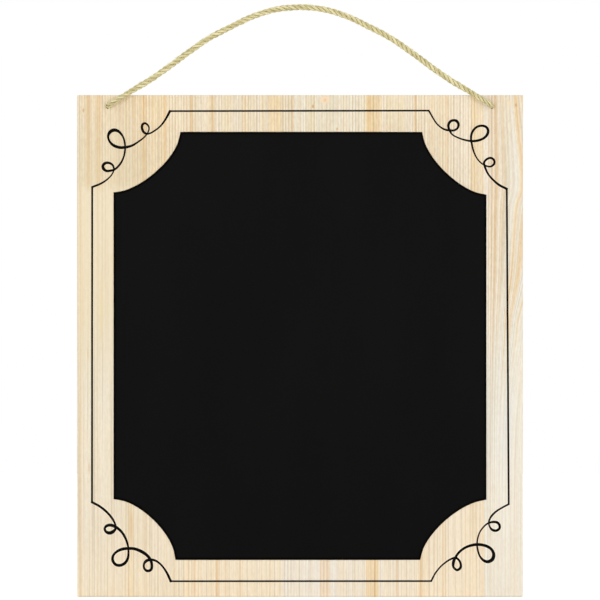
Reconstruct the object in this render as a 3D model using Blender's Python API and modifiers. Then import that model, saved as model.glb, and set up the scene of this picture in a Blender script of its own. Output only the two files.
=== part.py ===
"""Wall chalkboard: a pine panel glued up from five staves, with a writing panel let into its front.

The board hangs on a wall, so its back lies in the XZ plane at y = 0 and its front faces -Y. The
origin is the middle of the back. All lengths are in metres.
"""

import math

import bmesh
import bpy
from mathutils import Matrix, Vector
from mathutils.geometry import delaunay_2d_cdt, intersect_point_quad_2d

# Panel
BOARD_WIDTH = 0.3048
BOARD_HEIGHT = 0.3429
BOARD_THICKNESS = 0.0095
EDGE_EASE = 0.0004
EASE_SEGMENTS = 2
GLUE_JOINT_SHARES = (-0.520, -0.085, 0.367, 0.825)

# Writing panel and the recess that it is let into
OPENING_WIDTH = 0.2548
OPENING_HEIGHT = 0.2925
CORNER_REACH = 0.0400
TOP_LEFT_SCOOP_SHARES = (1.142, 1.111, 1.067, 1.027, 0.997, 0.985, 0.986, 0.998, 1.020, 1.033)
TOP_RIGHT_SCOOP_SHARES = (1.098, 1.069, 1.031, 1.001, 0.983, 0.979, 0.991, 1.015, 1.047, 1.072)
BOTTOM_RIGHT_SCOOP_SHARES = (1.131, 1.096, 1.048, 1.007, 0.980, 0.967, 0.969, 0.984, 1.006, 1.030)
BOTTOM_LEFT_SCOOP_SHARES = (1.056, 1.038, 1.009, 0.983, 0.968, 0.965, 0.976, 0.997, 1.022, 1.039)
SCOOP_STEPS = 2
PANEL_THICKNESS = 0.0016
PANEL_SETBACK = 0.0003
LIP_CHAMFER = 0.0004

# Clearances
FIT_GAP = 0.0003
CUT_OVERRUN = 0.002

# Printed border
BORDER_SIDE_INSET = 0.0104
BORDER_TOP_INSET = 0.01085
BORDER_BOTTOM_INSET = 0.01055
PEN_WIDTH = 0.0016
SIDE_LINE_SHARE = 0.82
END_LINE_SHARE = 0.74
INK_THICKNESS = 0.0002
CURL_LENGTH = 0.0533
CURL_STEPS = 3
LINE_TAPER_SHARE = 0.006
MITRE_LIMIT_SHARE = 1.6
MERGE_DISTANCE = 0.00001

# Rope hanger
ROPE_DIAMETER = 0.0040
ROPE_SIDES_RESOLUTION = 3
ROPE_ROUTE_STEPS = 8
ROPE_SPACING_SHARE = 2.0
CAP_ANGLES_DEGREES = (84, 60, 30)
HOLE_CLEARANCE = 0.0003
HOLE_FACETS = 32
HOLE_SIDE_SHARE = 0.861
HOLE_DROP = 0.00775
ARCH_RISE = 0.0684
ROPE_LEAN = 0.0075
ROPE_FREE_SHARE = 0.6

# Stopper knot, an overhand knot flat against the back of the panel
KNOT_SCALE = 0.0029
KNOT_LOBE_SHARE = 2.0
KNOT_LIFT = 0.0026
KNOT_ROPE_SHARE = 0.86
KNOT_START = 3.45
KNOT_END = 8.95
KNOT_STEPS = 44
KNOT_TURN_DEGREES = 240
KNOT_RESOLUTION = 2
KNOT_BEND = 0.0055
BEND_STEPS = 4
NEIGHBOUR_SHARE = 2.0

# Curls at the border's corners: steps inwards along the end and the side, then the pen's width
TOP_LEFT_CURL_SHARES = (
    (0.997, 0.002, 1.02), (0.941, 0.106, 0.91), (0.874, 0.195, 0.71), (0.797, 0.256, 0.73),
    (0.740, 0.287, 0.71), (0.695, 0.293, 0.94), (0.657, 0.266, 1.07), (0.637, 0.213, 1.05),
    (0.648, 0.170, 1.05), (0.675, 0.157, 0.89), (0.705, 0.173, 0.81), (0.729, 0.217, 0.66),
    (0.716, 0.272, 0.61), (0.668, 0.336, 0.63), (0.595, 0.392, 0.73), (0.513, 0.443, 1.00),
    (0.427, 0.466, 1.20), (0.350, 0.468, 1.29), (0.263, 0.435, 1.19), (0.214, 0.373, 0.93),
    (0.205, 0.316, 1.10), (0.231, 0.268, 1.44), (0.280, 0.245, 1.49), (0.333, 0.259, 1.21),
    (0.392, 0.325, 0.84), (0.418, 0.412, 0.80), (0.421, 0.502, 0.78), (0.401, 0.598, 0.75),
    (0.357, 0.683, 0.85), (0.289, 0.749, 0.91), (0.234, 0.766, 1.02), (0.183, 0.769, 1.16),
    (0.143, 0.737, 1.30), (0.138, 0.700, 1.23), (0.166, 0.670, 1.18), (0.214, 0.666, 1.04),
    (0.261, 0.693, 0.90), (0.278, 0.743, 0.75), (0.260, 0.802, 0.59), (0.205, 0.867, 0.64),
    (0.119, 0.927, 0.84), (0.000, 0.976, 0.88),
)
TOP_RIGHT_CURL_SHARES = (
    (1.013, -0.004, 0.80), (0.973, 0.066, 0.68), (0.921, 0.150, 0.66), (0.863, 0.207, 0.69),
    (0.797, 0.242, 0.88), (0.741, 0.249, 0.92), (0.689, 0.249, 0.93), (0.644, 0.220, 0.95),
    (0.632, 0.171, 1.09), (0.655, 0.130, 1.23), (0.700, 0.120, 1.10), (0.741, 0.139, 1.14),
    (0.763, 0.187, 1.08), (0.748, 0.244, 0.99), (0.714, 0.300, 0.68), (0.648, 0.339, 0.66),
    (0.561, 0.369, 0.77), (0.478, 0.386, 0.95), (0.396, 0.382, 1.10), (0.319, 0.356, 1.04),
    (0.265, 0.306, 1.16), (0.252, 0.248, 1.16), (0.280, 0.204, 1.09), (0.337, 0.189, 1.02),
    (0.401, 0.208, 0.95), (0.453, 0.266, 1.02), (0.472, 0.348, 0.93), (0.460, 0.430, 0.86),
    (0.439, 0.514, 0.73), (0.404, 0.593, 0.64), (0.355, 0.656, 0.63), (0.289, 0.699, 0.69),
    (0.224, 0.714, 0.77), (0.175, 0.680, 0.97), (0.176, 0.631, 0.96), (0.218, 0.602, 0.99),
    (0.268, 0.618, 0.94), (0.304, 0.661, 0.91), (0.292, 0.719, 0.97), (0.255, 0.804, 0.82),
    (0.190, 0.882, 0.89), (0.108, 0.951, 1.03), (0.013, 0.999, 1.00),
)
BOTTOM_RIGHT_CURL_SHARES = (
    (0.981, 0.004, 0.78), (0.934, 0.097, 0.68), (0.872, 0.178, 0.67), (0.806, 0.238, 0.71),
    (0.737, 0.282, 0.80), (0.672, 0.303, 0.95), (0.630, 0.277, 0.92), (0.604, 0.226, 0.97),
    (0.607, 0.175, 1.11), (0.649, 0.145, 1.03), (0.696, 0.183, 0.96), (0.697, 0.246, 1.34),
    (0.671, 0.307, 1.10), (0.625, 0.373, 1.05), (0.557, 0.427, 1.08), (0.475, 0.460, 1.16),
    (0.395, 0.473, 1.28), (0.320, 0.466, 1.25), (0.252, 0.443, 1.28), (0.203, 0.403, 1.19),
    (0.180, 0.341, 1.42), (0.197, 0.283, 1.52), (0.254, 0.252, 1.39), (0.312, 0.270, 1.13),
    (0.361, 0.329, 0.81), (0.385, 0.404, 0.79), (0.394, 0.475, 0.70), (0.384, 0.559, 0.64),
    (0.356, 0.636, 0.61), (0.314, 0.695, 0.67), (0.260, 0.742, 0.76), (0.195, 0.761, 0.97),
    (0.141, 0.757, 1.13), (0.108, 0.725, 1.07), (0.107, 0.679, 1.04), (0.150, 0.650, 1.11),
    (0.200, 0.662, 1.07), (0.233, 0.704, 0.70), (0.243, 0.764, 0.69), (0.212, 0.833, 0.86),
    (0.153, 0.894, 0.82), (0.078, 0.942, 0.74), (-0.012, 0.990, 0.80),
)
BOTTOM_LEFT_CURL_SHARES = (
    (1.007, 0.002, 1.08), (0.968, 0.089, 1.00), (0.924, 0.163, 0.86), (0.870, 0.226, 0.84),
    (0.809, 0.267, 0.97), (0.745, 0.278, 1.14), (0.690, 0.260, 1.28), (0.663, 0.217, 0.91),
    (0.668, 0.165, 0.94), (0.706, 0.134, 1.17), (0.756, 0.152, 1.15), (0.764, 0.219, 1.19),
    (0.746, 0.279, 1.23), (0.701, 0.336, 1.29), (0.630, 0.384, 1.40), (0.547, 0.416, 1.29),
    (0.465, 0.423, 1.28), (0.377, 0.411, 1.28), (0.312, 0.379, 1.07), (0.269, 0.331, 1.05),
    (0.261, 0.277, 1.21), (0.296, 0.219, 1.22), (0.356, 0.205, 1.27), (0.422, 0.237, 1.22),
    (0.458, 0.301, 1.10), (0.465, 0.386, 0.90), (0.456, 0.468, 0.88), (0.428, 0.550, 1.01),
    (0.386, 0.623, 1.10), (0.329, 0.680, 1.20), (0.275, 0.711, 1.39), (0.228, 0.722, 1.34),
    (0.183, 0.710, 1.19), (0.160, 0.678, 1.01), (0.174, 0.640, 1.11), (0.215, 0.621, 1.47),
    (0.259, 0.632, 1.48), (0.298, 0.673, 1.04), (0.297, 0.724, 0.81), (0.268, 0.789, 0.93),
    (0.221, 0.853, 0.98), (0.158, 0.915, 1.03), (0.082, 0.971, 1.01), (-0.003, 1.015, 1.02),
)

# Right half of the rope's route, seen from the front: shares of half the hole spacing and of the rise
ROPE_ROUTE_SHARES = (
    (1.000, 0.000), (0.886, 0.142), (0.781, 0.262), (0.677, 0.403), (0.573, 0.553),
    (0.469, 0.690), (0.364, 0.797), (0.261, 0.893), (0.156, 0.962), (0.052, 0.994),
)
# Tail of the left knot, on from its last turn: shares of the rope's diameter along X, Y and Z
KNOT_TAIL_SHARES = ((-1.0, -0.03, -0.25), (-1.8, -0.03, -1.0), (-2.1, -0.03, -2.0))

# Colours, as linear values
PINE_COLOUR = (0.838, 0.716, 0.522, 1.0)
CHALK_COLOUR = (0.0065, 0.0065, 0.0065, 1.0)
ROPE_COLOUR = (0.565, 0.515, 0.283, 1.0)
INK_COLOUR = (0.004, 0.004, 0.004, 1.0)
PINE_ROUGHNESS = 0.6
CHALK_ROUGHNESS = 0.85
ROPE_ROUGHNESS = 0.8
INK_ROUGHNESS = 0.5

# Places that several pieces share
FRONT_Y = -BOARD_THICKNESS
PANEL_FRONT_Y = FRONT_Y + PANEL_SETBACK
PANEL_BACK_Y = PANEL_FRONT_Y + PANEL_THICKNESS
RECESS_FLOOR_Y = PANEL_BACK_Y + FIT_GAP
ROPE_RADIUS = ROPE_DIAMETER / 2
HOLE_RADIUS = ROPE_RADIUS + HOLE_CLEARANCE
HOLE_X = BOARD_WIDTH / 2 * HOLE_SIDE_SHARE
HOLE_Z = BOARD_HEIGHT / 2 - HOLE_DROP
HINGE_Y = FRONT_Y - FIT_GAP - ROPE_RADIUS


def new_collection(name):
    """A collection linked to the scene."""
    collection = bpy.data.collections.new(name)
    bpy.context.scene.collection.children.link(collection)
    return collection


def new_material(name, colour, roughness):
    """A plain Principled material."""
    material = bpy.data.materials.new(name)
    material.use_nodes = True
    shader = material.node_tree.nodes["Principled BSDF"]
    shader.inputs["Base Color"].default_value = colour
    shader.inputs["Roughness"].default_value = roughness
    shader.inputs["Metallic"].default_value = 0
    return material


def add_object(name, data, collection, material=None, place=(0, 0, 0)):
    """Link a mesh or curve into a collection as a named object."""
    thing = bpy.data.objects.new(name, data)
    thing.location = place
    if material:
        data.materials.append(material)
    collection.objects.link(thing)
    return thing


def mark_as_cutter(thing):
    """Keep a cutter out of renders and show it as wire."""
    thing.hide_render = True
    thing.display_type = "WIRE"
    return thing


def add_boolean(thing, operation, cutter):
    """Cut or trim an object with another one."""
    modifier = thing.modifiers.new(cutter.name, "BOOLEAN")
    modifier.operation = operation
    modifier.object = cutter
    modifier.solver = "EXACT"


def smooth_route(points, steps):
    """Points on a centripetal Catmull-Rom curve through the given points, first and last kept."""
    points = [Vector(point) for point in points]
    before = 2 * points[0] - points[1]
    after = 2 * points[-1] - points[-2]
    padded = [before] + points + [after]
    route = []
    for first, second, third, fourth in zip(padded, padded[1:], padded[2:], padded[3:]):
        t1 = math.sqrt((second - first).length)
        t2 = t1 + math.sqrt((third - second).length)
        t3 = t2 + math.sqrt((fourth - third).length)
        for step in range(steps):
            t = t1 + (t2 - t1) * step / steps
            a1 = first * (t1 - t) / t1 + second * t / t1
            a2 = second * (t2 - t) / (t2 - t1) + third * (t - t1) / (t2 - t1)
            a3 = third * (t3 - t) / (t3 - t2) + fourth * (t - t2) / (t3 - t2)
            b1 = a1 * (t2 - t) / t2 + a2 * t / t2
            b2 = a2 * (t3 - t) / (t3 - t1) + a3 * (t - t1) / (t3 - t1)
            route.append(b1 * (t2 - t) / (t2 - t1) + b2 * (t - t1) / (t2 - t1))
    route.append(points[-1])
    return route


def route_length(route):
    """Length along a list of points."""
    return sum((after - before).length for before, after in zip(route, route[1:]))


def even_route(route, spacing):
    """The same route with its points at an even spacing close to the one asked for."""
    count = max(2, round(route_length(route) / spacing))
    step = route_length(route) / count
    even = [route[0]]
    travelled = 0
    for before, after in zip(route, route[1:]):
        stretch = (after - before).length
        while len(even) < count and travelled + stretch >= step * len(even):
            even.append(before.lerp(after, (step * len(even) - travelled) / stretch))
        travelled += stretch
    even.append(route[-1])
    return even


def tube_curve(name, route, radii, radius, resolution):
    """A round tube along a route, with filled caps; radii are shares of the radius."""
    curve = bpy.data.curves.new(name, "CURVE")
    curve.dimensions = "3D"
    curve.bevel_depth = radius
    curve.bevel_resolution = resolution
    curve.use_fill_caps = True
    spline = curve.splines.new("POLY")
    spline.points.add(len(route) - 1)
    for point, place, share in zip(spline.points, route, radii):
        point.co = (*place, 1)
        point.radius = share
    spline.use_smooth = True
    return curve


def box_mesh(name, low, high):
    """A box between two corners."""
    size = Vector(high) - Vector(low)
    middle = (Vector(high) + Vector(low)) / 2
    shape = bmesh.new()
    bmesh.ops.create_cube(shape, size=1)
    bmesh.ops.scale(shape, vec=size, verts=shape.verts)
    bmesh.ops.translate(shape, vec=middle, verts=shape.verts)
    mesh = bpy.data.meshes.new(name)
    shape.to_mesh(mesh)
    shape.free()
    return mesh


def corner_scoop(side, end, scoop_shares, margin):
    """Points of one scooped corner, from the opening's end edge to its side edge, grown by a margin.

    side and end are the signs of the corner, and scoop_shares the scoop's distances from the
    opening's square corner, at even turns from the end edge to the side edge.
    """
    corner = Vector((side * OPENING_WIDTH / 2, end * OPENING_HEIGHT / 2))
    knots = []
    for index, share in enumerate(scoop_shares):
        turn = math.pi / 2 * index / (len(scoop_shares) - 1)
        heading = Vector((-side * math.cos(turn), -end * math.sin(turn)))
        knots.append(corner + heading * share * CORNER_REACH)
    route = smooth_route(knots, SCOOP_STEPS)
    points = []
    for before, here, after in zip(route[:1] + route, route, route[1:] + route[-1:]):
        heading = (after - before).normalized()
        outwards = Vector((-heading.y, heading.x))
        if outwards.dot(corner - here) < 0:
            outwards = -outwards
        points.append(here + outwards * margin)
    leaving = route[0] - route[1]
    end_level = corner.y + end * margin
    points[0] += leaving * (end_level - points[0].y) / leaving.y
    arriving = route[-1] - route[-2]
    side_level = corner.x + side * margin
    points[-1] += arriving * (side_level - points[-1].x) / arriving.x
    return points


def opening_outline(margin):
    """The opening's outline seen from the front, grown by a margin, as X and Z pairs."""
    top_left = corner_scoop(-1, 1, TOP_LEFT_SCOOP_SHARES, margin)
    top_right = corner_scoop(1, 1, TOP_RIGHT_SCOOP_SHARES, margin)
    bottom_right = corner_scoop(1, -1, BOTTOM_RIGHT_SCOOP_SHARES, margin)
    bottom_left = corner_scoop(-1, -1, BOTTOM_LEFT_SCOOP_SHARES, margin)
    return top_left[::-1] + top_right + bottom_right[::-1] + bottom_left


def loft_mesh(name, sections):
    """A closed solid through outlines of equal count, each given with its level in Y."""
    shape = bmesh.new()
    rings = []
    for outline, level in sections:
        ring = [shape.verts.new((point.x, level, point.y)) for point in outline]
        rings.append([shape.edges.new(pair) for pair in zip(ring, ring[1:] + ring[:1])])
    for lower, upper in zip(rings, rings[1:]):
        bmesh.ops.bridge_loops(shape, edges=lower + upper)
    bmesh.ops.contextual_create(shape, geom=rings[0])
    bmesh.ops.contextual_create(shape, geom=rings[-1])
    bmesh.ops.recalc_face_normals(shape, faces=shape.faces)
    mesh = bpy.data.meshes.new(name)
    shape.to_mesh(mesh)
    shape.free()
    return mesh


def make_board_blank(cutters):
    """The whole panel before it is cut, with its outer edges eased."""
    half_width = BOARD_WIDTH / 2
    half_height = BOARD_HEIGHT / 2
    low = (-half_width, FRONT_Y, -half_height)
    high = (half_width, 0, half_height)
    blank = add_object("board_blank", box_mesh("board_blank", low, high), cutters)
    bevel = blank.modifiers.new("ease", "BEVEL")
    bevel.width = EDGE_EASE
    bevel.segments = EASE_SEGMENTS
    bevel.limit_method = "NONE"
    return mark_as_cutter(blank)


def make_recess_cutter(cutters):
    """The routed recess, with a small chamfer at its lip."""
    flare = LIP_CHAMFER + CUT_OVERRUN
    sections = (
        (opening_outline(0), RECESS_FLOOR_Y),
        (opening_outline(0), FRONT_Y + LIP_CHAMFER),
        (opening_outline(flare), FRONT_Y - CUT_OVERRUN),
    )
    return mark_as_cutter(add_object("recess_cutter", loft_mesh("recess_cutter", sections), cutters))


def make_hole_cutter(name, side, cutters):
    """The hole that one end of the rope goes through."""
    shape = bmesh.new()
    bmesh.ops.create_cone(
        shape, cap_ends=True, segments=HOLE_FACETS, radius1=HOLE_RADIUS, radius2=HOLE_RADIUS,
        depth=BOARD_THICKNESS + 2 * CUT_OVERRUN, matrix=Matrix.Rotation(math.pi / 2, 4, "X"),
    )
    mesh = bpy.data.meshes.new(name)
    shape.to_mesh(mesh)
    shape.free()
    place = (side * HOLE_X, FRONT_Y / 2, HOLE_Z)
    return mark_as_cutter(add_object(name, mesh, cutters, place=place))


def make_staves(parts, cutters, pine):
    """Five staves, each trimmed to the panel's blank and cut for the recess and the holes."""
    blank = make_board_blank(cutters)
    recess = make_recess_cutter(cutters)
    left_hole = make_hole_cutter("hole_cutter_left", -1, cutters)
    right_hole = make_hole_cutter("hole_cutter_right", 1, cutters)
    half_width = BOARD_WIDTH / 2
    joints = [half_width * share for share in GLUE_JOINT_SHARES]
    lefts = [-half_width - CUT_OVERRUN] + [joint + FIT_GAP / 2 for joint in joints]
    rights = [joint - FIT_GAP / 2 for joint in joints] + [half_width + CUT_OVERRUN]
    reach = BOARD_HEIGHT / 2 + CUT_OVERRUN
    for number, (left, right) in enumerate(zip(lefts, rights), start=1):
        name = f"stave_{number}"
        low = (left, FRONT_Y - CUT_OVERRUN, -reach)
        high = (right, CUT_OVERRUN, reach)
        stave = add_object(name, box_mesh(name, low, high), parts, pine)
        add_boolean(stave, "INTERSECT", blank)
        add_boolean(stave, "DIFFERENCE", recess)
        for hole in (left_hole, right_hole):
            if left < hole.location.x < right:
                add_boolean(stave, "DIFFERENCE", hole)


def make_chalk_panel(parts, chalk):
    """The writing panel, a flat sheet that drops into the recess."""
    curve = bpy.data.curves.new("chalk_panel", "CURVE")
    curve.dimensions = "2D"
    curve.fill_mode = "BOTH"
    curve.extrude = PANEL_THICKNESS / 2
    outline = opening_outline(-FIT_GAP)
    spline = curve.splines.new("POLY")
    spline.points.add(len(outline) - 1)
    for point, place in zip(spline.points, outline):
        point.co = (place.x, place.y, 0, 1)
    spline.use_cyclic_u = True
    panel = add_object("chalk_panel", curve, parts, chalk)
    panel.location.y = (PANEL_FRONT_Y + PANEL_BACK_Y) / 2
    panel.rotation_euler.x = math.pi / 2


def curl_points(shares, side, end):
    """One corner's curls as X, Z and pen width, from the end line to the side line."""
    corner_x = side * (BOARD_WIDTH / 2 - BORDER_SIDE_INSET)
    end_inset = BORDER_TOP_INSET if end > 0 else BORDER_BOTTOM_INSET
    corner_z = end * (BOARD_HEIGHT / 2 - end_inset)
    points = []
    for along_end, along_side, pen_share in shares:
        x = corner_x - side * along_end * CURL_LENGTH
        z = corner_z - end * along_side * CURL_LENGTH
        points.append((x, z, pen_share * PEN_WIDTH))
    return smooth_route(points, CURL_STEPS)


def border_stroke():
    """The whole border as one closed pen stroke, clockwise from the top line."""
    corners = (
        curl_points(TOP_RIGHT_CURL_SHARES, 1, 1),
        curl_points(BOTTOM_RIGHT_CURL_SHARES, 1, -1)[::-1],
        curl_points(BOTTOM_LEFT_CURL_SHARES, -1, -1),
        curl_points(TOP_LEFT_CURL_SHARES, -1, 1)[::-1],
    )
    line_shares = (SIDE_LINE_SHARE, END_LINE_SHARE) * 2
    stroke = []
    for corner, following, line_share in zip(corners, corners[1:] + corners[:1], line_shares):
        stroke += corner
        for share in (LINE_TAPER_SHARE, 1 - LINE_TAPER_SHARE):
            place = corner[-1].lerp(following[0], share)
            place.z = line_share * PEN_WIDTH
            stroke.append(place)
    return stroke


def stroke_sides(stroke):
    """The two edges of a closed pen stroke, mitred at its corners."""
    left = []
    right = []
    for before, here, after in zip(stroke[-1:] + stroke[:-1], stroke, stroke[1:] + stroke[:1]):
        arriving = (here.xy - before.xy).normalized()
        leaving = (after.xy - here.xy).normalized()
        heading = (arriving + leaving).normalized()
        across = Vector((-heading.y, heading.x))
        half_turn_cosine = max(heading.dot(leaving), 1 / MITRE_LIMIT_SHARE)
        reach = across * here.z / 2 / half_turn_cosine
        left.append(here.xy + reach)
        right.append(here.xy - reach)
    return left, right


def make_border_print(parts, ink):
    """The printed line: the whole area that the pen stroke covers, given a thickness."""
    left, right = stroke_sides(border_stroke())
    count = len(left)
    edges = []
    inked = []
    for here in range(count):
        after = (here + 1) % count
        edges += [(here, after), (count + here, count + after)]
        inked.append((right[here], right[after], left[after], left[here]))
    places, _, triangles, *_ = delaunay_2d_cdt(left + right, edges, [], 1, MERGE_DISTANCE)
    shape = bmesh.new()
    verts = [shape.verts.new((place.x, 0, place.y)) for place in places]
    for triangle in triangles:
        middle = sum((places[index] for index in triangle), Vector((0, 0))) / 3
        if any(intersect_point_quad_2d(middle, *quad) for quad in inked):
            shape.faces.new([verts[index] for index in triangle])
    loose = [vert for vert in verts if not vert.link_faces]
    bmesh.ops.delete(shape, geom=loose, context="VERTS")
    bmesh.ops.recalc_face_normals(shape, faces=shape.faces)
    mesh = bpy.data.meshes.new("border_print")
    shape.to_mesh(mesh)
    shape.free()
    film = add_object("border_print", mesh, parts, ink)
    film.location.y = FRONT_Y - FIT_GAP - INK_THICKNESS / 2
    solidify = film.modifiers.new("thickness", "SOLIDIFY")
    solidify.thickness = INK_THICKNESS
    solidify.offset = 0


def rope_lean(height):
    """How far back the rope has leant at a height above the holes: none until it clears the edge."""
    free = HOLE_DROP + ROPE_RADIUS * ROPE_FREE_SHARE
    share = min(1, max(0, (height - free) / (ARCH_RISE - free)))
    return ROPE_LEAN * share * share * (3 - 2 * share)


def rope_route():
    """Centre line of the arch from the left hole's mouth to the right one's, about the joint's axis."""
    half = [(HOLE_X * x_share, ARCH_RISE * z_share) for x_share, z_share in ROPE_ROUTE_SHARES]
    whole = [(-x, z) for x, z in half] + half[::-1]
    return smooth_route([(x, rope_lean(z), z) for x, z in whole], ROPE_ROUTE_STEPS)


def rounded_ends(route, radius):
    """Add a half ball to both ends of a route, and give the radius share at every point."""
    cap_angles = [math.radians(angle) for angle in CAP_ANGLES_DEGREES]
    start_heading = (route[1] - route[0]).normalized()
    end_heading = (route[-1] - route[-2]).normalized()
    start_cap = [route[0] - start_heading * radius * math.sin(angle) for angle in cap_angles]
    end_cap = [route[-1] + end_heading * radius * math.sin(angle) for angle in cap_angles]
    cap_shares = [math.cos(angle) for angle in cap_angles]
    shares = cap_shares + [1] * len(route) + cap_shares[::-1]
    return start_cap + route + end_cap[::-1], shares


def make_rope_loop(parts, rope):
    """The arch of rope that the board hangs by, on the axis that it swings about."""
    hinge = bpy.data.objects.new("rope_hinge", None)
    hinge.location = (0, HINGE_Y, HOLE_Z)
    parts.objects.link(hinge)
    route = even_route(rope_route(), ROPE_SPACING_SHARE * ROPE_DIAMETER)
    print(f"rope_loop length {route_length(route):.4f}")
    rounded, shares = rounded_ends(route, ROPE_RADIUS)
    curve = tube_curve("rope_loop", rounded, shares, ROPE_RADIUS, ROPE_SIDES_RESOLUTION)
    loop = add_object("rope_loop", curve, parts, rope)
    loop.parent = hinge


def knot_turns():
    """Centre line of the overhand knot on the left, flat in the XZ plane, from its entry to its exit."""
    turn = Matrix.Rotation(-math.radians(KNOT_TURN_DEGREES), 3, "Y")
    level = FIT_GAP + ROPE_RADIUS * KNOT_ROPE_SHARE + KNOT_LIFT
    turns = []
    for step in range(KNOT_STEPS + 1):
        t = KNOT_START + (KNOT_END - KNOT_START) * step / KNOT_STEPS
        across = -KNOT_SCALE * (math.sin(t) + KNOT_LOBE_SHARE * math.sin(2 * t))
        up = KNOT_SCALE * (math.cos(t) - KNOT_LOBE_SHARE * math.cos(2 * t))
        wave = math.sin(3 * t)
        lift = -KNOT_LIFT * wave * (3 - wave * wave) / 2
        turns.append(turn @ Vector((across, level + lift, up)))
    return turns


def rope_end_route():
    """The left end of the rope, from the hole's front mouth through the hole and its knot to the tip.

    The route is about the point where the hole's centre line meets the panel's back.
    """
    turns = knot_turns()
    heading = turns[1] - turns[0]
    heading.y = 0
    entry = KNOT_BEND * heading.normalized()
    shift = entry - Vector((turns[0].x, 0, turns[0].z))
    turns = [place + shift for place in turns]
    bend = []
    for step in range(1, BEND_STEPS):
        angle = math.pi / 2 * step / BEND_STEPS
        place = entry * (1 - math.cos(angle))
        place.y = turns[0].y * math.sin(angle)
        bend.append(place)
    stub = [Vector((0, FRONT_Y * (1 - step / BEND_STEPS), 0)) for step in range(BEND_STEPS + 1)]
    tail_points = [turns[-1] + ROPE_DIAMETER * Vector(shares) for shares in KNOT_TAIL_SHARES]
    tail = smooth_route(turns[-2:] + tail_points, BEND_STEPS)[BEND_STEPS + 1:]
    route = stub + bend + turns + tail
    shares = [1] * len(stub) + [KNOT_ROPE_SHARE] * (len(route) - len(stub))
    return route, shares


def least_gap(route, diameter):
    """The least gap between stretches of a tube that aren't neighbours along it."""
    travelled = [0]
    for before, after in zip(route, route[1:]):
        travelled.append(travelled[-1] + (after - before).length)
    gaps = []
    for first, place in enumerate(route):
        for second in range(first + 1, len(route)):
            if travelled[second] - travelled[first] > NEIGHBOUR_SHARE * diameter:
                gaps.append((route[second] - place).length - diameter)
    return min(gaps)


def make_rope_end(name, side, parts, rope):
    """One end of the rope, in its hole and knotted behind the panel."""
    route, shares = rope_end_route()
    route = [Vector((-side * place.x, place.y, place.z)) for place in route]
    knotted = [place for place, share in zip(route, shares) if share < 1]
    gap = least_gap(knotted, ROPE_DIAMETER * KNOT_ROPE_SHARE)
    print(f"{name} length {route_length(route):.4f} least gap to itself {gap:.5f}")
    curve = tube_curve(name, route, shares, ROPE_RADIUS, KNOT_RESOLUTION)
    add_object(name, curve, parts, rope, (side * HOLE_X, 0, HOLE_Z))


def main():
    """Clear the scene and build the board."""
    for thing in list(bpy.data.objects):
        bpy.data.objects.remove(thing, do_unlink=True)
    parts = new_collection("wall_chalkboard")
    cutters = new_collection("cutters")
    pine = new_material("pine", PINE_COLOUR, PINE_ROUGHNESS)
    chalk = new_material("chalk_black", CHALK_COLOUR, CHALK_ROUGHNESS)
    rope = new_material("rope", ROPE_COLOUR, ROPE_ROUGHNESS)
    ink = new_material("ink", INK_COLOUR, INK_ROUGHNESS)
    make_staves(parts, cutters, pine)
    make_chalk_panel(parts, chalk)
    make_border_print(parts, ink)
    make_rope_loop(parts, rope)
    make_rope_end("rope_end_left", -1, parts, rope)
    make_rope_end("rope_end_right", 1, parts, rope)


main()
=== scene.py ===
import math
import random

import bmesh
import bpy
from bpy.props import FloatProperty, FloatVectorProperty, IntProperty, PointerProperty
from mathutils import Matrix, Vector, noise


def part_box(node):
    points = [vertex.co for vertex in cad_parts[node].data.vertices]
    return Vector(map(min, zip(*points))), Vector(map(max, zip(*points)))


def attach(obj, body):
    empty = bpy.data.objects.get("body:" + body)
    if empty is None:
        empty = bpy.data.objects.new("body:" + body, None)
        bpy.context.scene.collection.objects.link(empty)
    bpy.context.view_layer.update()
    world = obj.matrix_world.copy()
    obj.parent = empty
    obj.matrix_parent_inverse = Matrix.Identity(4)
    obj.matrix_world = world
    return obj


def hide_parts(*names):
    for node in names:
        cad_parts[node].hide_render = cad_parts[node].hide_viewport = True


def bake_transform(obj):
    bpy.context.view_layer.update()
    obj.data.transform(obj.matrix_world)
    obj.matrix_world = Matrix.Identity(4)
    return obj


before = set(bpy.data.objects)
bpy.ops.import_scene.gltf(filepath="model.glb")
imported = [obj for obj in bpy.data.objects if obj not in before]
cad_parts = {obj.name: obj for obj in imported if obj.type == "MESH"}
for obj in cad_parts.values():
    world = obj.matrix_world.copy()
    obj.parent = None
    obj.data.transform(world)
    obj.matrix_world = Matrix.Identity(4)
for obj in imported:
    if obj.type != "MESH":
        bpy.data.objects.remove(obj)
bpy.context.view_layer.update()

bl_info = {
    "name": "Wall Chalkboard",
    "version": (1, 0, 0),
    "blender": (4, 5, 0),
    "location": "View3D > Sidebar > Chalkboard",
    "description": "Dresses the wall chalkboard: pine staves, writing panel, border, rope and studio",
    "category": "Object",
}

STAVES = ("stave_1", "stave_2", "stave_3", "stave_4", "stave_5")
BOARD_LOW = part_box(STAVES[0])[0]
FRONT_Y = BOARD_LOW.y
MM = 1000
MERGE_DISTANCE = 0.00001
STRAND_MERGE_DISTANCE = 0.0000005
FLAT_ANGLE = 0.001
SHARP_ANGLE = math.radians(35)
PANEL_FLAT_ANGLE = math.radians(0.5)
PANEL_EDGE_X = -0.12737
RAMP_STOPS = 32

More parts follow.
